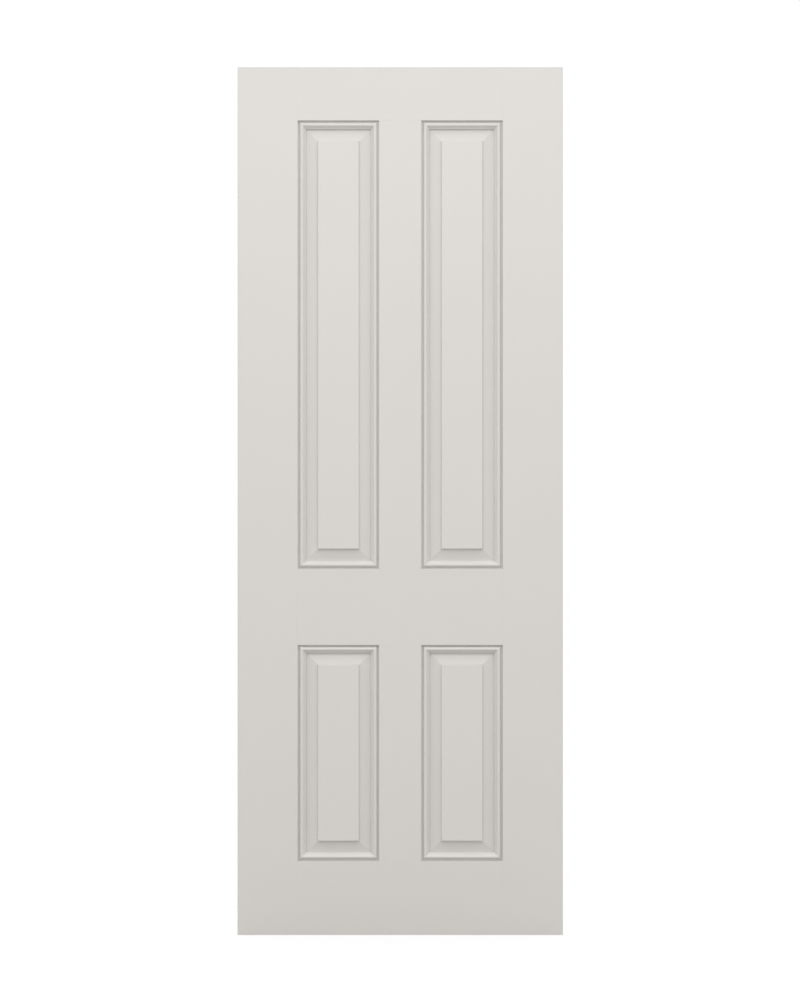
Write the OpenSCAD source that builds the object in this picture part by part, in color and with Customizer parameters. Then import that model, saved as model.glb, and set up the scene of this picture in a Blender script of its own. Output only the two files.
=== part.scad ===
// Four-panel timber front door leaf: stiles, rails and muntins joined with wedged
// tenons, raised and fielded panels held in grooves, and mitred quirk-ogee
// mouldings pinned round each panel on both faces.
// Millimetres. Origin at the middle of the leaf's bottom edge, +Z up, and the
// outer face towards -Y. Left and right are as seen from outside.

/* [Leaf] */
// Width of the leaf
leaf_w = 762; // [635:1:915]
// Height of the leaf
leaf_h = 2032; // [1690:1:2440]
// Thickness of the leaf
leaf_t = 44; // [36.5:0.5:53]
// Radius of the eased arrises along the stiles' outer edges
arris_r = 1.5; // [0.5:0.5:3]

/* [Stiles, rails and muntins] */
// Width of each stile
stile_w = 141; // [117:1:169]
// Width of the upright muntins between the panels
muntin_w = 99; // [82:1:119]
// Height of the top rail
top_rail_h = 125; // [104:1:150]
// Height of the lock rail across the middle
lock_rail_h = 178; // [148:1:214]
// Height of the bottom rail
bottom_rail_h = 173; // [144:1:208]
// Height of the openings for the lower panels
lower_opening_h = 506; // [421:1:608]

/* [Tenons and wedges] */
// Thickness of every tenon, which is also the width of the panel groove
tenon_t = 14; // [12:1:17]
// Depth of the panel groove, which the haunches fill at the rails
groove_d = 12; // [10:1:14]
// Gap between the two tenons at each end of the lock rail and bottom rail
twin_gap = 30; // [25:1:36]
// Height of the haunch at the top and bottom ends of the leaf
haunch_h = 40; // [33:1:48]
// Length of the muntins' stub tenons past the groove
stub_l = 30; // [20:1:36]
// Space left behind the end of a stub tenon
stub_relief = 2; // [1:0.5:4]
// Length of a wedge
wedge_l = 60; // [50:1:72]
// Thickness of a wedge at its outer end
wedge_t = 5; // [4:0.5:6]
// Thickness of a wedge at its tip
wedge_tip_t = 1; // [0.5:0.5:2]

/* [Panels] */
// Room for a panel to swell at each edge, in the groove and beside it
panel_gap = 2; // [1:0.5:3]
// Play on each side of the tongue in its groove
tongue_play = 0.1; // [0.05:0.05:0.3]
// Thickness of a panel at the sunk margin round its bevels
margin_t = 17; // [14:0.2:20.4]
// Flat margin that shows between the moulding and the bevel
margin_show = 5.6; // [4.6:0.1:6.8]
// Width of the sloping bevel
bevel_w = 21.8; // [18.1:0.1:26.2]
// Height of the step from the bevel up to the field
step_h = 7.4; // [6.1:0.1:8.9]
// Width of that step, which leans a little
step_w = 1.2; // [1:0.05:1.45]
// Depth of the raised field below the face of the leaf
field_d = 1; // [0.8:0.1:1.2]

/* [Mouldings] */
// Width of the moulding's section across the opening
moulding_w = 19; // [15.8:0.2:22.8]
// Width of the quirk, the groove against the framing
quirk_w = 4.2; // [3.5:0.1:5.1]
// Depth of the quirk's floor below the face of the leaf
quirk_d = 6.6; // [5.5:0.1:8]
// Depth of the moulding's flat crest below the face of the leaf
crest_d = 0.8; // [0.65:0.05:1]
// Width of the crest, between the quirk's rounded shoulder and the ogee
crest_w = 0.5; // [0.4:0.05:0.6]
// Turn of each of the ogee's two arcs, in degrees
ogee_turn = 34; // [28:1:41]
// Height of the fillet under the ogee, above the panel's margin
fillet_h = 4.8; // [4:0.1:5.8]

/* [Moulding pins] */
// Diameter of a pin
pin_dia = 1.4; // [1.1:0.1:1.7]
// Length of a pin
pin_l = 30; // [25:1:36]
// Length of a pin that lies in the moulding
pin_grip = 11; // [9.2:0.2:13.2]
// Least timber between the middle of a pin and the panel groove
pin_cover = 2; // [1.6:0.1:2.4]
// Distance from a mitred corner to the first pin
pin_end = 40; // [33:1:48]
// Largest distance between two pins along a moulding
pin_pitch = 200; // [165:5:240]

/* [Hidden] */
$fn = 48;
ogee_fn = 240;
FACES = ["outer", "inner"];
ROWS = ["upper", "lower"];
COLUMNS = ["left", "right"];
SIDES = ["top", "bottom", "left", "right"];

PAINT = "#DDDAD5";
TIMBER = "burlywood";
STEEL = "silver";

// How far a cutter runs past the solid it cuts
over = 1;

// The framing, from the sizes above
half_w = leaf_w / 2;
half_t = leaf_t / 2;
shoulder_x = half_w - stile_w;
opening_w = shoulder_x - muntin_w / 2;
upper_opening_h = leaf_h - top_rail_h - lock_rail_h - bottom_rail_h - lower_opening_h;
lock_rail_z = bottom_rail_h + lower_opening_h;
upper_opening_z = lock_rail_z + lock_rail_h;
top_rail_z = leaf_h - top_rail_h;

// Each through tenon, as its lowest and highest Z
bottom_tenons = twin_tenons(haunch_h, bottom_rail_h - groove_d);
lock_tenons = twin_tenons(lock_rail_z + groove_d, upper_opening_z - groove_d);
top_tenons = [[top_rail_z + groove_d, leaf_h - haunch_h]];
all_tenons = concat(bottom_tenons, lock_tenons, top_tenons);

// The panels and mouldings, across an opening from its edge inwards and in depth below the face
margin_d = half_t - margin_t / 2;
bevel_start = moulding_w + margin_show;
step_start = bevel_start + bevel_w;
field_start = step_start + step_w;
shoulder_r = quirk_d - crest_d;
crest_start = quirk_w + shoulder_r;

// The ogee falls from its top to its foot, and its bulging and hollow arcs meet halfway. Each arc
// spans half of the chord, and ogee_to_centre leads from the middle of that half to the centre of the
// bulging arc
ogee_top = [crest_start + crest_w, -crest_d];
ogee_foot = [moulding_w, fillet_h - margin_d];
ogee_middle = (ogee_top + ogee_foot) / 2;
ogee_chord = (ogee_foot - ogee_top) / norm(ogee_foot - ogee_top);
ogee_r = norm(ogee_middle - ogee_top) / 2 / sin(ogee_turn / 2);
ogee_to_centre = ogee_r * cos(ogee_turn / 2) * [ogee_chord.y, -ogee_chord.x];

// A pin leaves the moulding midway between the quirk's floor and the moulding's back, and it slopes
// towards the middle of the leaf by no more than the timber in front of the panel groove allows
pin_d = (quirk_d + margin_d) / 2;
pin_slope = asin((half_t - tenon_t / 2 - pin_cover - pin_d) / pin_l);

function in_list(item, list) = len([for (entry = list) if (entry == item) entry]) > 0;
function panel_name(row, column) = str(row, "_", column, "_panel");
function moulding_name(face, row, column, side) = str("moulding_", face, "_", row, "_", column, "_", side);
function twin_tenons(low, high) = [
    [low, (low + high - twin_gap) / 2],
    [(low + high + twin_gap) / 2, high]
];
function opening_x(column) = column == "left" ? -shoulder_x : muntin_w / 2;
function opening_z(row) = row == "upper" ? upper_opening_z : bottom_rail_h;
function opening_h(row) = row == "upper" ? upper_opening_h : lower_opening_h;
function is_upright(side) = side == "left" || side == "right";
function run_length(row, side) = is_upright(side) ? opening_h(row) : opening_w;

// A block between two corners
module block(low, high) {
    translate(low) cube(high - low);
}

// Stiles, rails and muntins

// The wedges of one end of one tenon, above and below it, at the right-hand edge
module wedge_pair(tenon) {
    for (end = [0, 1])
        translate([half_w, tenon_t / 2, tenon[end]])
            mirror([0, 0, 1 - end])
                rotate([90, 0, 0])
                    linear_extrude(tenon_t)
                        polygon([[0, 0], [0, wedge_t], [-wedge_l, wedge_tip_t], [-wedge_l, 0]]);
}

// A stile stands as the right-hand one: it is mirrored for the other
module stile_section() {
    difference() {
        union() {
            translate([shoulder_x, -half_t]) square([stile_w - arris_r, leaf_t]);
            translate([shoulder_x, -half_t + arris_r]) square([stile_w, leaf_t - 2 * arris_r]);
            for (way = [-1, 1])
                translate([half_w - arris_r, way * (half_t - arris_r)]) circle(arris_r);
        }
        translate([shoulder_x - over, -tenon_t / 2]) square([groove_d + over, tenon_t]);
    }
}

module stile() {
    color(PAINT) difference() {
        linear_extrude(leaf_h) stile_section();
        for (tenon = all_tenons) {
            block(
                [shoulder_x + groove_d - over, -tenon_t / 2, tenon[0]],
                [half_w + over, tenon_t / 2, tenon[1]]
            );
            wedge_pair(tenon);
        }
        for (face = FACES, row = ROWS) pins(face, row, "right", "right");
    }
}

module stile_wedges() {
    color(TIMBER) for (tenon = all_tenons) wedge_pair(tenon);
}

// A rail between two heights, grooved on the edges listed, with its haunches and with its tenons
// running to the leaf's edges
module rail(low, high, grooved, tenons) {
    core_low = low + (in_list("bottom", grooved) ? groove_d : 0);
    core_high = high - (in_list("top", grooved) ? groove_d : 0);
    haunch_x = shoulder_x + groove_d;
    block([-shoulder_x, -half_t, low], [shoulder_x, -tenon_t / 2, high]);
    block([-shoulder_x, tenon_t / 2, low], [shoulder_x, half_t, high]);
    block([-haunch_x, -tenon_t / 2, core_low], [haunch_x, tenon_t / 2, core_high]);
    for (tenon = tenons) block([-half_w, -tenon_t / 2, tenon[0]], [half_w, tenon_t / 2, tenon[1]]);
}

// The blind mortise for a muntin's stub tenon, which goes up or down from the rail's edge at height z
module stub_mortise(z, way) {
    depth = groove_d + stub_l + stub_relief;
    block(
        [-muntin_w / 2 + groove_d, -tenon_t / 2, way > 0 ? z : z - depth],
        [muntin_w / 2 - groove_d, tenon_t / 2, way > 0 ? z + depth : z]
    );
}

module top_rail() {
    color(PAINT) difference() {
        rail(top_rail_z, leaf_h, ["bottom"], top_tenons);
        stub_mortise(top_rail_z, 1);
        for (face = FACES, column = COLUMNS) pins(face, "upper", column, "top");
    }
}

module lock_rail() {
    color(PAINT) difference() {
        rail(lock_rail_z, upper_opening_z, ["bottom", "top"], lock_tenons);
        stub_mortise(lock_rail_z, 1);
        stub_mortise(upper_opening_z, -1);
        for (face = FACES, column = COLUMNS) {
            pins(face, "upper", column, "bottom");
            pins(face, "lower", column, "top");
        }
    }
}

module bottom_rail() {
    color(PAINT) difference() {
        rail(0, bottom_rail_h, ["top"], bottom_tenons);
        stub_mortise(bottom_rail_h, -1);
        for (face = FACES, column = COLUMNS) pins(face, "lower", column, "bottom");
    }
}

// A muntin between two rails, with a groove down each edge and a stub tenon at each end
module muntin(row) {
    low = opening_z(row);
    high = low + opening_h(row);
    reach = groove_d + stub_l;
    color(PAINT) difference() {
        union() {
            block([-muntin_w / 2, -half_t, low], [muntin_w / 2, half_t, high]);
            block(
                [-muntin_w / 2 + groove_d, -tenon_t / 2, low - reach],
                [muntin_w / 2 - groove_d, tenon_t / 2, high + reach]
            );
        }
        for (way = [-1, 1])
            translate([way * muntin_w / 2, 0, (low + high) / 2])
                cube([2 * groove_d, tenon_t, high - low + 2 * over], center = true);
        for (face = FACES) {
            pins(face, row, "left", "right");
            pins(face, row, "right", "left");
        }
    }
}

// Panels

// Half of a panel's thickness across one of its two directions, as a closed outline centred on the panel
module panel_section(opening) {
    tongue_x = opening / 2 + groove_d - panel_gap;
    edge = opening / 2;
    tongue_y = tenon_t / 2 - tongue_play;
    margin_y = half_t - margin_d;
    quarter = [
        [tongue_x, tongue_y],
        [edge - panel_gap, tongue_y],
        [edge - panel_gap, margin_y],
        [edge - bevel_start, margin_y],
        [edge - step_start, half_t - field_d - step_h],
        [edge - field_start, half_t - field_d]
    ];
    back = [for (i = [len(quarter) - 1 : -1 : 0]) quarter[i]];
    polygon(concat(
        quarter,
        [for (p = back) [-p.x, p.y]],
        [for (p = quarter) [-p.x, -p.y]],
        [for (p = back) [p.x, -p.y]]
    ));
}

// The two sections cross, and each bevel is cut off by the next one along a mitre
module panel(row, column) {
    reach = 2 * (groove_d + over);
    color(PAINT)
        translate([opening_x(column) + opening_w / 2, 0, opening_z(row) + opening_h(row) / 2])
            intersection() {
                linear_extrude(opening_h(row) + reach, center = true) panel_section(opening_w);
                rotate([0, 90, 0])
                    linear_extrude(opening_w + reach, center = true) panel_section(opening_h(row));
            }
}

// Mouldings

// A strip of the section between two distances from the framing, up to a depth below the face
module section_strip(from, to, depth) {
    translate([from, -margin_d]) square([to - from, margin_d - depth]);
}

// The section: X runs from the framing into the opening, and Y is minus the depth below the leaf's face
module moulding_section() {
    section_strip(0, crest_start, quirk_d);
    intersection() {
        translate([crest_start, -quirk_d]) circle(shoulder_r);
        translate([quirk_w, -quirk_d]) square(shoulder_r);
    }
    section_strip(crest_start, ogee_top.x, crest_d);
    intersection() {
        translate((ogee_top + ogee_middle) / 2 + ogee_to_centre) circle(ogee_r, $fn = ogee_fn);
        section_strip(ogee_top.x, ogee_middle.x, crest_d);
    }
    difference() {
        section_strip(ogee_middle.x, moulding_w, -ogee_middle.y);
        translate((ogee_middle + ogee_foot) / 2 - ogee_to_centre) circle(ogee_r, $fn = ogee_fn);
    }
}

// One length as it lies along X with its section across Y, its face at Z 0 and a mitre at each end
module moulding_run(length) {
    intersection() {
        rotate([90, 0, 90]) linear_extrude(length) moulding_section();
        translate([0, 0, -margin_d - over])
            linear_extrude(margin_d + 2 * over)
                polygon([[0, 0], [length, 0], [length - moulding_w, moulding_w], [moulding_w, moulding_w]]);
    }
}

// The pins of one length, as it lies in moulding_run
module pin_run(length) {
    gaps = max(1, ceil((length - 2 * pin_end) / pin_pitch));
    for (i = [0 : gaps])
        translate([pin_end + i * (length - 2 * pin_end) / gaps, 0, -pin_d])
            rotate([90 + pin_slope, 0, 0])
                translate([0, 0, -pin_grip])
                    cylinder(d = pin_dia, h = pin_l, $fn = 24);
}

// Puts what lies as in moulding_run along one side of one opening, on one face of the leaf
module along_side(face, row, column, side) {
    low_x = opening_x(column);
    low_z = opening_z(row);
    high_x = low_x + opening_w;
    high_z = low_z + opening_h(row);
    corner =
        side == "bottom" ? [low_x, low_z, 0] :
        side == "right" ? [high_x, low_z, 90] :
        side == "top" ? [high_x, high_z, 180] : [low_x, high_z, 270];
    mirror([0, face == "outer" ? 0 : 1, 0])
        translate([corner[0], -half_t, corner[1]])
            rotate([90, 0, 0])
                rotate([0, 0, corner[2]])
                    children();
}

module pins(face, row, column, side) {
    along_side(face, row, column, side) pin_run(run_length(row, side));
}

module moulding(face, row, column, side) {
    color(PAINT) difference() {
        along_side(face, row, column, side) moulding_run(run_length(row, side));
        pins(face, row, column, side);
    }
}

module moulding_pins(face) {
    color(STEEL) for (row = ROWS, column = COLUMNS, side = SIDES) pins(face, row, column, side);
}

mirror([1, 0, 0]) stile();  // hinge_stile
stile();  // lock_stile
top_rail();
lock_rail();
bottom_rail();
muntin("upper");  // upper_muntin
muntin("lower");  // lower_muntin
mirror([1, 0, 0]) stile_wedges();  // hinge_stile_wedges
stile_wedges();  // lock_stile_wedges
moulding_pins("outer");  // outer_moulding_pins
moulding_pins("inner");  // inner_moulding_pins
for (row = ROWS, column = COLUMNS)
    panel(row, column);
for (face = FACES, row = ROWS, column = COLUMNS, side = SIDES)
    moulding(face, row, column, side);
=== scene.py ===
import math

import bmesh
import bpy
from mathutils import Matrix, Vector


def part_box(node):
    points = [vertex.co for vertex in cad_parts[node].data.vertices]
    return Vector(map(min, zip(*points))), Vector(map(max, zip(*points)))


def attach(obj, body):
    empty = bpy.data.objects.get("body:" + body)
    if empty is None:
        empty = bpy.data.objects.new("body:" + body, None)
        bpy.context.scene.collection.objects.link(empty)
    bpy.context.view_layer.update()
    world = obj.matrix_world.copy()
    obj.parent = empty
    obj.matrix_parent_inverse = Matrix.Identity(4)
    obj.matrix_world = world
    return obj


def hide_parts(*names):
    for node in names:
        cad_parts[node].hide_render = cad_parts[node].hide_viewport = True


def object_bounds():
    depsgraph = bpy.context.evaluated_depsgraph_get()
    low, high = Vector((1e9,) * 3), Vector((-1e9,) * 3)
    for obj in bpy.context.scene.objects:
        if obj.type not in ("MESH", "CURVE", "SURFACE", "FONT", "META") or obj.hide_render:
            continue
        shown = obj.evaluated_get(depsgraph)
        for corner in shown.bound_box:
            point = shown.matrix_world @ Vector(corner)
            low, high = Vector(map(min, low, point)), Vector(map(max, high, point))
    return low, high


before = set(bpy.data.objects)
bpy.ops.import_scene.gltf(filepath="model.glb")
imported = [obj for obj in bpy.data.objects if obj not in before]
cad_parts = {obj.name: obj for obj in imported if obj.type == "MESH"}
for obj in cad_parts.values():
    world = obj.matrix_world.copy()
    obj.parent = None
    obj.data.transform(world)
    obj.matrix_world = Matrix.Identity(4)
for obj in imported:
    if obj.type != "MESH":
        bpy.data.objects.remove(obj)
cad_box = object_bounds()

# ---------------------------------------------------------------- stiles
# The two uprights at the edges of the leaf are 44 mm planed redwood, grooved for the panels and
# mortised right through for the rails. Their long outer arrises are rounded over, and every other
# visible edge is only rubbed down with paper before it is painted.

RUBBED_ARRIS = 0.00016
ON_FACE = 0.000002
FLAT = math.radians(0.5)
ARRIS_ANGLE = math.radians(60)
CRISP_TIMBER = math.radians(50)

PAINT_DEEP = (0.579, 0.561, 0.532, 1.0)
PAINT_PALE = (0.592, 0.574, 0.545, 1.0)
CLOUD_SCALE = 5.0
STROKE_SCALE = 420.0
STROKE_STRETCH = 0.03
STROKE_DEPTH = 0.0001
STROKE_WEIGHT = 0.7
PEEL_SCALE = 650.0
PEEL_DEPTH = 0.00007
PEEL_WEIGHT = 0.5
PAINT_GLOSSIEST = 0.36
PAINT_DULLEST = 0.48


def add(tree, kind, values=None, **settings):
    """One node of a tree, with its settings and the values or links of its inputs."""
    made = tree.nodes.new(kind)
    for name, value in settings.items():
        setattr(made, name, value)
    for socket, value in (values or {}).items():
        if isinstance(value, bpy.types.NodeSocket):
            tree.links.new(value, made.inputs[socket])
        else:
            made.inputs[socket].default_value = value
    return made


def paint(name, stroke_along):
    """Satin paint laid off with a brush along the piece, in the leaf's warm off-white."""
    made = bpy.data.materials.new(name)
    made.use_nodes = True
    tree = made.node_tree
    shader = tree.nodes["Principled BSDF"]
    place = add(tree, "ShaderNodeTexCoord").outputs["Object"]
    along = Vector((1.0, 1.0, 1.0))
    along["XYZ".index(stroke_along)] = STROKE_STRETCH
    strokes_place = add(tree, "ShaderNodeMapping", {"Vector": place, "Scale": along}).outputs[0]

    cloud = add(tree, "ShaderNodeTexNoise", {"Vector": place, "Scale": CLOUD_SCALE, "Detail": 3.0})
    tint = add(tree, "ShaderNodeMix", {"Factor": cloud.outputs["Fac"]}, data_type="RGBA")
    tint.inputs[6].default_value = PAINT_DEEP
    tint.inputs[7].default_value = PAINT_PALE
    tree.links.new(tint.outputs[2], shader.inputs["Base Color"])

    brushed = add(
        tree, "ShaderNodeTexNoise", {"Vector": strokes_place, "Scale": STROKE_SCALE, "Detail": 4.0}
    )
    sheen = add(
        tree,
        "ShaderNodeMapRange",
        {"Value": brushed.outputs["Fac"], "To Min": PAINT_GLOSSIEST, "To Max": PAINT_DULLEST},
    )
    tree.links.new(sheen.outputs[0], shader.inputs["Roughness"])

    orange_peel = add(
        tree, "ShaderNodeTexNoise", {"Vector": place, "Scale": PEEL_SCALE, "Detail": 2.0}
    )
    stroke_bump = add(
        tree,
        "ShaderNodeBump",
        {"Height": brushed.outputs["Fac"], "Strength": STROKE_WEIGHT, "Distance": STROKE_DEPTH},
    )
    peel_bump = add(
        tree,
        "ShaderNodeBump",
        {
            "Height": orange_peel.outputs["Fac"],
            "Strength": PEEL_WEIGHT,
            "Distance": PEEL_DEPTH,
            "Normal": stroke_bump.outputs[0],
        },
    )
    tree.links.new(peel_bump.outputs[0], shader.inputs["Normal"])
    return made


paint_upright = paint("satin_paint_laid_off_upright", "Z")
paint_across = paint("satin_paint_laid_off_across", "X")

leaf_low, leaf_high = cad_box
leaf_face = leaf_high.y


def finish_piece(name, mesh, material, node):
    """A painted piece of the leaf, smooth with crisp arrises, in place of the frame's piece."""
    piece = bpy.data.objects.new(name, mesh)
    piece.data.materials.clear()
    piece.data.materials.append(material)
    even = piece.modifiers.new("even_shading", "WEIGHTED_NORMAL")
    even.keep_sharp = True
    bpy.context.scene.collection.objects.link(piece)
    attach(piece, "root")
    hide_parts(node)


def eased_timber(node, material):
    """The piece as the frame has it, with each arris on the outside of the leaf rubbed down."""
    shape = bmesh.new()
    shape.from_mesh(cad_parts[node].data)
    bmesh.ops.remove_doubles(shape, verts=shape.verts, dist=ON_FACE)
    bmesh.ops.dissolve_limit(shape, angle_limit=FLAT, verts=shape.verts, edges=shape.edges)

    def outside(vert):
        return (
            abs(abs(vert.co.y) - leaf_face) < ON_FACE
            or abs(abs(vert.co.x) - leaf_high.x) < ON_FACE
            or vert.co.z < ON_FACE
            or vert.co.z > leaf_high.z - ON_FACE
        )

    arrises = [
        edge
        for edge in shape.edges
        if edge.is_manifold
        and edge.calc_face_angle() > ARRIS_ANGLE
        and all(outside(vert) for vert in edge.verts)
    ]
    bmesh.ops.bevel(
        shape,
        geom=arrises,
        offset=RUBBED_ARRIS,
        segments=2,
        profile=0.5,
        affect="EDGES",
        clamp_overlap=True,
    )
    for face in shape.faces:
        face.smooth = True
    for edge in shape.edges:
        edge.smooth = edge.is_manifold and edge.calc_face_angle() < CRISP_TIMBER
    mesh = bpy.data.meshes.new(node + "_painted")
    shape.to_mesh(mesh)
    shape.free()
    finish_piece(node + "_painted", mesh, material, node)


for stile in ("hinge_stile", "lock_stile"):
    eased_timber(stile, paint_upright)

# ---------------------------------------------------------------- rails
# The three redwood rails run between the stiles, and their tenons go through to the leaf's edges,
# where they are wedged and planed flush. Their paint is laid off across, from stile to stile.

for rail in ("top_rail", "lock_rail", "bottom_rail"):
    eased_timber(rail, paint_across)

# ---------------------------------------------------------------- muntins
# The two redwood muntins are the short uprights between the rails. They stand on blind stub tenons
# and are grooved down both edges for the panels.

for muntin in ("upper_muntin", "lower_muntin"):
    eased_timber(muntin, paint_upright)

# ---------------------------------------------------------------- wedges
# Hardwood wedges are driven in above and below each through tenon from the edge of the stile, sawn
# off flush and painted over, so that only their ends show as faint outlines.

for wedges in ("hinge_stile_wedges", "lock_stile_wedges"):
    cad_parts[wedges].data.materials.clear()
    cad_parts[wedges].data.materials.append(paint_across)

# ---------------------------------------------------------------- panels
# The four solid timber panels are raised and fielded on both faces: a flat field, a steep step down
# from it, and a bevel run down to a flat margin that goes under the mouldings. Each stands loose in
# its grooves, free to swell and shrink.

MARGIN_THICKNESS = 0.017
MARGIN_SHOWN = 0.0056
BEVEL_WIDTH = 0.0218
STEP_HEIGHT = 0.0074
STEP_WIDTH = 0.0012
FIELD_DEPTH = 0.001
TONGUE_REACH = 0.010
TONGUE_HALF = 0.0069
PANEL_GAP = 0.002
MOULDING_WIDTH = 0.019
MARGIN_HOLLOW = 0.003
STEP_FOOT = 0.0004
FIELD_ARRIS = 0.0005
FIELD_BORDER = 0.004
CRISP_PROFILE = math.radians(25)
CORNERS = ((-1, -1), (1, -1), (1, 1), (-1, 1))


def rounded(corners, radii, steps=4):
    """An open outline in which each inner corner is an arc of its own radius."""
    outline = [corners[0]]
    for before, corner, after, radius in zip(corners, corners[1:], corners[2:], radii):
        back = (before - corner).normalized()
        ahead = (after - corner).normalized()
        half = back.angle(ahead) / 2
        if radius == 0:
            outline.append(corner)
            continue
        reach = radius / math.tan(half)
        centre = corner + (back + ahead).normalized() * radius / math.sin(half)
        start = corner + back * reach - centre
        end = corner + ahead * reach - centre
        for step in range(steps + 1):
            spoke = start.lerp(end, step / steps).normalized() * radius
            outline.append(centre + spoke)
    outline.append(corners[-1])
    return outline


def fielded_panel(node):
    """One panel, as rings that step inwards from its edge to its field on both faces."""
    low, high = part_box(node)
    centre = (low + high) / 2
    half = (high - low) / 2 - Vector((TONGUE_REACH, 0, TONGUE_REACH))
    bevel_start = MOULDING_WIDTH + MARGIN_SHOWN
    step_start = bevel_start + BEVEL_WIDTH
    margin = MARGIN_THICKNESS / 2
    field = leaf_face - FIELD_DEPTH
    section = rounded(
        [
            Vector((-TONGUE_REACH, TONGUE_HALF)),
            Vector((PANEL_GAP, TONGUE_HALF)),
            Vector((PANEL_GAP, margin)),
            Vector((bevel_start, margin)),
            Vector((step_start, field - STEP_HEIGHT)),
            Vector((step_start + STEP_WIDTH, field)),
            Vector((step_start + STEP_WIDTH + FIELD_BORDER, field)),
        ],
        [0, 0, MARGIN_HOLLOW, STEP_FOOT, FIELD_ARRIS],
    )
    shape = bmesh.new()
    both_faces = []
    for side in (-1, 1):
        rings = []
        for inset, depth in section:
            ring = [
                shape.verts.new(
                    (
                        centre.x + turn_x * (half.x - inset),
                        side * depth,
                        centre.z + turn_z * (half.z - inset),
                    )
                )
                for turn_x, turn_z in CORNERS
            ]
            rings.append(ring)
        for outer, inner in zip(rings, rings[1:]):
            for i in range(4):
                j = (i + 1) % 4
                shape.faces.new((outer[i], outer[j], inner[j], inner[i]))
        shape.faces.new(rings[-1])
        both_faces.append(rings)
    front, back = both_faces[0][0], both_faces[1][0]
    for i in range(4):
        j = (i + 1) % 4
        shape.faces.new((front[i], front[j], back[j], back[i]))
    bmesh.ops.recalc_face_normals(shape, faces=shape.faces)
    mitres = {
        shape.edges.get(ends)
        for rings in both_faces
        for outer, inner in zip(rings, rings[1:])
        for ends in zip(outer, inner)
    }
    for face in shape.faces:
        face.smooth = True
    for edge in shape.edges:
        edge.smooth = edge not in mitres and edge.calc_face_angle() < CRISP_PROFILE
    mesh = bpy.data.meshes.new(node + "_fielded")
    shape.to_mesh(mesh)
    shape.free()
    finish_piece(node + "_fielded", mesh, paint_upright, node)


ROWS = ("upper", "lower")
COLUMNS = ("left", "right")
for row in ROWS:
    for column in COLUMNS:
        fielded_panel(f"{row}_{column}_panel")

# ---------------------------------------------------------------- mouldings
# Each opening has a quirked ogee moulding planted round it on both faces: four lengths of one
# section, mitred at the corners and pinned to the framing, so that they cover the panel's edge.

QUIRK_WIDTH = 0.0042
QUIRK_FOOT = 0.0041
QUIRK_DEPTH = 0.0066
CREST_DEPTH = 0.0008
CREST_WIDTH = 0.0005
OGEE_TURN = 34
FILLET_HEIGHT = 0.0048
FOOT_ARRIS = 0.0003
SAME_POINT = 0.0000001


def arc(centre, radius, start, end, steps):
    """Points round part of a circle, with its angles in degrees."""
    turn = [math.radians(start + (end - start) * i / steps) for i in range(steps + 1)]
    return [centre + radius * Vector((math.cos(a), math.sin(a))) for a in turn]


def moulding_section():
    """The section across the opening, with its depths below the face of the leaf."""
    back = MARGIN_THICKNESS / 2 - leaf_face
    shoulder = QUIRK_DEPTH - CREST_DEPTH
    crest = QUIRK_WIDTH + shoulder
    top = Vector((crest + CREST_WIDTH, -CREST_DEPTH))
    foot = Vector((MOULDING_WIDTH, back + FILLET_HEIGHT))
    middle = (top + foot) / 2
    chord = foot - top
    slope = math.degrees(math.atan2(chord.y, chord.x))
    turn = OGEE_TURN / 2
    radius = chord.length / 4 / math.sin(math.radians(turn))
    to_centre = Vector((chord.y, -chord.x)).normalized() * radius * math.cos(math.radians(turn))
    bulge = (top + middle) / 2 + to_centre
    hollow = (middle + foot) / 2 - to_centre
    across = slope + 90
    outline = [Vector((0, back)), Vector((0, -QUIRK_DEPTH)), Vector((QUIRK_FOOT, -QUIRK_DEPTH))]
    outline += arc(Vector((crest, -QUIRK_DEPTH)), shoulder, 180, 90, steps=12)
    outline += arc(bulge, radius, across + turn, across - turn, steps=10)
    outline += arc(hollow, radius, across + 180 - turn, across + 180 + turn, steps=10)[1:-1]
    outline += arc(foot - Vector((FOOT_ARRIS, FOOT_ARRIS)), FOOT_ARRIS, 90, 0, steps=3)
    outline.append(Vector((MOULDING_WIDTH, back)))
    return outline


section_curve = bpy.data.curves.new("moulding_section", "CURVE")
section_curve.dimensions = "2D"
section_line = section_curve.splines.new("POLY")
section_points = moulding_section()
section_line.points.add(len(section_points) - 1)
for point, place in zip(section_line.points, section_points):
    point.co = (place.x, place.y, 0, 1)
section_line.use_cyclic_u = True
section_object = bpy.data.objects.new("moulding_section", section_curve)


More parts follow.
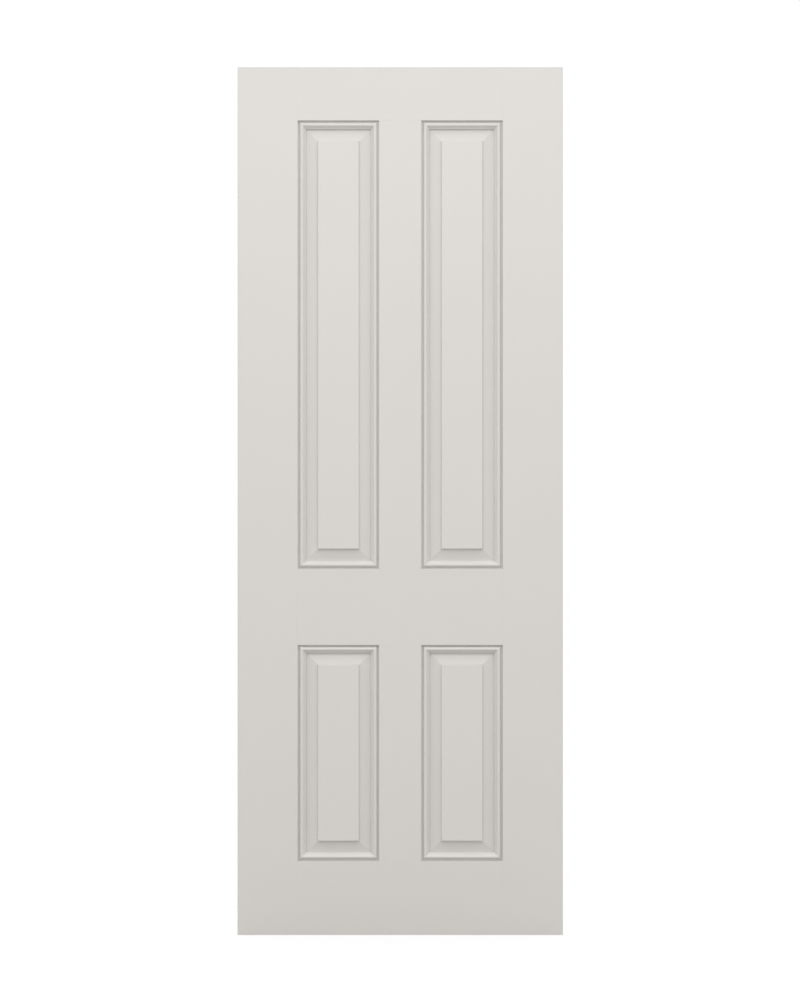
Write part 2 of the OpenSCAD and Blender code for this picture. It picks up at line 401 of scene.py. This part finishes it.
def moulding_tree():
    """A length of the section along X, its face up, cut to a mitre at both ends."""
    tree = bpy.data.node_groups.new("mitred_moulding_length", "GeometryNodeTree")
    sockets = tree.interface
    sockets.new_socket("Section", in_out="INPUT", socket_type="NodeSocketObject")
    sockets.new_socket("Length", in_out="INPUT", socket_type="NodeSocketFloat")
    sockets.new_socket("Paint", in_out="INPUT", socket_type="NodeSocketMaterial")
    sockets.new_socket("Geometry", in_out="OUTPUT", socket_type="NodeSocketGeometry")
    given = add(tree, "NodeGroupInput").outputs
    section = add(tree, "GeometryNodeObjectInfo", {"Object": given["Section"]}).outputs["Geometry"]
    end = add(tree, "ShaderNodeCombineXYZ", {"X": given["Length"]}).outputs[0]
    line = add(tree, "GeometryNodeCurvePrimitiveLine", {"End": end}).outputs[0]
    face_up = add(tree, "GeometryNodeSetCurveTilt", {"Curve": line, "Tilt": math.pi}).outputs[0]
    run = add(
        tree,
        "GeometryNodeCurveToMesh",
        {"Curve": face_up, "Profile Curve": section, "Fill Caps": True},
    ).outputs[0]
    position = add(tree, "GeometryNodeInputPosition").outputs[0]
    place = add(tree, "ShaderNodeSeparateXYZ", {0: position})
    middle = add(
        tree, "ShaderNodeMath", {0: given["Length"], 1: 2.0}, operation="DIVIDE"
    ).outputs[0]
    far_half = add(tree, "FunctionNodeCompare", {0: place.outputs["X"], 1: middle}).outputs[0]
    far_cut = add(
        tree, "ShaderNodeMath", {0: given["Length"], 1: place.outputs["Y"]}, operation="SUBTRACT"
    ).outputs[0]
    cut = add(
        tree,
        "GeometryNodeSwitch",
        {0: far_half, 1: place.outputs["Y"], 2: far_cut},
        input_type="FLOAT",
    ).outputs[0]
    mitred_place = add(
        tree, "ShaderNodeCombineXYZ", {"X": cut, "Y": place.outputs["Y"], "Z": place.outputs["Z"]}
    ).outputs[0]
    mitred = add(
        tree, "GeometryNodeSetPosition", {"Geometry": run, "Position": mitred_place}
    ).outputs[0]
    real = add(tree, "GeometryNodeRealizeInstances", {0: mitred}).outputs[0]
    painted = add(
        tree, "GeometryNodeSetMaterial", {"Geometry": real, "Material": given["Paint"]}
    ).outputs[0]
    add(tree, "NodeGroupOutput", {0: painted})
    return tree


mitred_length = moulding_tree()


def socket_id(tree, name):
    """The identifier of a tree's input, which is what a modifier is set by."""
    return next(
        item.identifier
        for item in tree.interface.items_tree
        if item.name == name and item.in_out == "INPUT"
    )


def moulding(node, face, side):
    """One mitred length, turned into its place along a side of its opening."""
    low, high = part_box(node)
    upright = side in ("left", "right")
    length = high.z - low.z if upright else high.x - low.x
    coat = paint_upright if upright else paint_across
    blank = bpy.data.objects.new(node + "_blank", bpy.data.meshes.new(node + "_blank"))
    bpy.context.scene.collection.objects.link(blank)
    mitring = blank.modifiers.new("mitred_length", "NODES")
    mitring.node_group = mitred_length
    mitring[socket_id(mitred_length, "Section")] = section_object
    mitring[socket_id(mitred_length, "Length")] = length
    mitring[socket_id(mitred_length, "Paint")] = coat
    bpy.context.view_layer.update()
    shaped = blank.evaluated_get(bpy.context.evaluated_depsgraph_get())
    mesh = bpy.data.meshes.new_from_object(shaped)
    mesh.name = node + "_run"
    bpy.data.objects.remove(blank)
    corner, turn = {
        "bottom": ((low.x, low.z), 0),
        "right": ((high.x, low.z), 90),
        "top": ((high.x, high.z), 180),
        "left": ((low.x, high.z), 270),
    }[side]
    place = (
        Matrix.Translation((corner[0], leaf_low.y, corner[1]))
        @ Matrix.Rotation(math.radians(90), 4, "X")
        @ Matrix.Rotation(math.radians(turn), 4, "Z")
    )
    if face == "inner":
        place = Matrix.Scale(-1, 4, (0, 1, 0)) @ place
    mesh.transform(place)
    shape = bmesh.new()
    shape.from_mesh(mesh)
    bmesh.ops.remove_doubles(shape, verts=shape.verts, dist=SAME_POINT)
    bmesh.ops.recalc_face_normals(shape, faces=shape.faces)
    for facet in shape.faces:
        facet.smooth = True
    for edge in shape.edges:
        edge.smooth = edge.calc_face_angle() < CRISP_PROFILE
    shape.to_mesh(mesh)
    shape.free()
    finish_piece(node + "_run", mesh, coat, node)


for face in ("outer", "inner"):
    for row in ROWS:
        for column in COLUMNS:
            for side in ("top", "bottom", "left", "right"):
                moulding(f"moulding_{face}_{row}_{column}_{side}", face, side)
bpy.data.objects.remove(section_object)

# ---------------------------------------------------------------- pins
# Bright steel pins hold each length of moulding to the framing, punched below the surface and
# stopped before the leaf is painted, so none of them shows.

STEEL_DARK = (0.50, 0.50, 0.51, 1.0)
STEEL_BRIGHT = (0.60, 0.60, 0.61, 1.0)
STEEL_GRAIN = 900.0
STEEL_GLOSSIEST = 0.24
STEEL_DULLEST = 0.44

steel = bpy.data.materials.new("bright_steel_wire")
steel.use_nodes = True
wire_place = add(steel.node_tree, "ShaderNodeTexCoord").outputs["Object"]
wire = steel.node_tree.nodes["Principled BSDF"]
wire.inputs["Metallic"].default_value = 1.0
drawn = add(
    steel.node_tree,
    "ShaderNodeTexNoise",
    {"Vector": wire_place, "Scale": STEEL_GRAIN, "Detail": 3.0},
)
dulling = add(
    steel.node_tree,
    "ShaderNodeMapRange",
    {"Value": drawn.outputs["Fac"], "To Min": STEEL_GLOSSIEST, "To Max": STEEL_DULLEST},
)
steel.node_tree.links.new(dulling.outputs[0], wire.inputs["Roughness"])
bloom = add(steel.node_tree, "ShaderNodeMix", {"Factor": drawn.outputs["Fac"]}, data_type="RGBA")
bloom.inputs[6].default_value = STEEL_DARK
bloom.inputs[7].default_value = STEEL_BRIGHT
steel.node_tree.links.new(bloom.outputs[2], wire.inputs["Base Color"])
for pins in ("outer_moulding_pins", "inner_moulding_pins"):
    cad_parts[pins].data.materials.clear()
    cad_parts[pins].data.materials.append(steel)

# ---------------------------------------------------------------- studio
# The finished leaf stands on a plain pale floor in soft white light, brightest overhead, with a
# soft box in front of its upper half. The camera faces the middle of its outer face.

WHITE = (1, 1, 1, 1)
FLOOR_GREY = (0.46, 0.46, 0.46, 1)
FLOOR_HALF = 30
FLOOR_GLOW = 1.1
FLOOR_WHITENING = 0.8
LEVEL_LIGHT = 0.91
OVERHEAD_LIGHT = 1.66
BACKGROUND_LIGHT = 1.05
SOFT_BOX_SIZE = (3.0, 1.5)
SOFT_BOX_POWER = 19.0
SOFT_BOX_PLACE = Vector((0, -2.2, 2.6))
SOFT_BOX_AIM = Vector((0, 0, 1.4))
CAMERA_DISTANCE = 5.0
CAMERA_OFF_MIDDLE = Vector((-0.0005, 0, 0.0025))
FILM_WIDTH = 36.0
FRAMED_HEIGHT = 2.341

scene = bpy.context.scene
scene.view_settings.view_transform = "Standard"

floor_mesh = bpy.data.meshes.new("studio_floor")
floor_corners = [(x * FLOOR_HALF, y * FLOOR_HALF, 0) for x, y in CORNERS]
floor_mesh.from_pydata(floor_corners, [], [(0, 1, 2, 3)])
floor = bpy.data.objects.new("studio_floor", floor_mesh)
scene.collection.objects.link(floor)
floor_paint = bpy.data.materials.new("pale_floor")
floor_paint.use_nodes = True
floor_tree = floor_paint.node_tree
floor_tree.nodes.clear()
matt = add(floor_tree, "ShaderNodeBsdfPrincipled", {"Base Color": FLOOR_GREY, "Roughness": 0.9})
pale = add(floor_tree, "ShaderNodeEmission", {"Color": WHITE, "Strength": FLOOR_GLOW})
floor_seen = add(floor_tree, "ShaderNodeLightPath").outputs["Is Camera Ray"]
whitened = add(
    floor_tree, "ShaderNodeMath", {0: floor_seen, 1: FLOOR_WHITENING}, operation="MULTIPLY"
)
floor_shown = add(
    floor_tree,
    "ShaderNodeMixShader",
    {0: whitened.outputs[0], 1: matt.outputs[0], 2: pale.outputs[0]},
)
add(floor_tree, "ShaderNodeOutputMaterial", {"Surface": floor_shown.outputs[0]})
floor_mesh.materials.append(floor_paint)

world = bpy.data.worlds.new("studio_air")
scene.world = world
world.use_nodes = True
air = world.node_tree
air.nodes.clear()
direction = add(air, "ShaderNodeTexCoord").outputs["Generated"]
height = add(air, "ShaderNodeSeparateXYZ", {0: direction})
sky = add(
    air,
    "ShaderNodeMapRange",
    {"Value": height.outputs["Z"], "To Min": LEVEL_LIGHT, "To Max": OVERHEAD_LIGHT},
)
seen = add(air, "ShaderNodeLightPath").outputs["Is Camera Ray"]
strength = add(
    air, "ShaderNodeMix", {0: seen, 2: sky.outputs[0], 3: BACKGROUND_LIGHT}, data_type="FLOAT"
).outputs[0]
glow = add(air, "ShaderNodeBackground", {"Color": WHITE, "Strength": strength}).outputs[0]
add(air, "ShaderNodeOutputWorld", {"Surface": glow})

soft_light = bpy.data.lights.new("soft_box", "AREA")
soft_light.shape = "RECTANGLE"
soft_light.size, soft_light.size_y = SOFT_BOX_SIZE
soft_light.energy = SOFT_BOX_POWER
soft_box = bpy.data.objects.new("soft_box", soft_light)
soft_box.location = SOFT_BOX_PLACE
soft_box.rotation_euler = (SOFT_BOX_AIM - SOFT_BOX_PLACE).to_track_quat("-Z", "Y").to_euler()
scene.collection.objects.link(soft_box)

middle = (leaf_low + leaf_high) / 2
camera_data = bpy.data.cameras.new("camera")
camera_data.sensor_width = FILM_WIDTH
camera_data.lens = FILM_WIDTH * CAMERA_DISTANCE / FRAMED_HEIGHT
camera = bpy.data.objects.new("camera", camera_data)
camera.location = Vector((middle.x, leaf_low.y - CAMERA_DISTANCE, middle.z)) + CAMERA_OFF_MIDDLE
camera.rotation_euler = (math.radians(90), 0, 0)
scene.collection.objects.link(camera)
scene.camera = camera
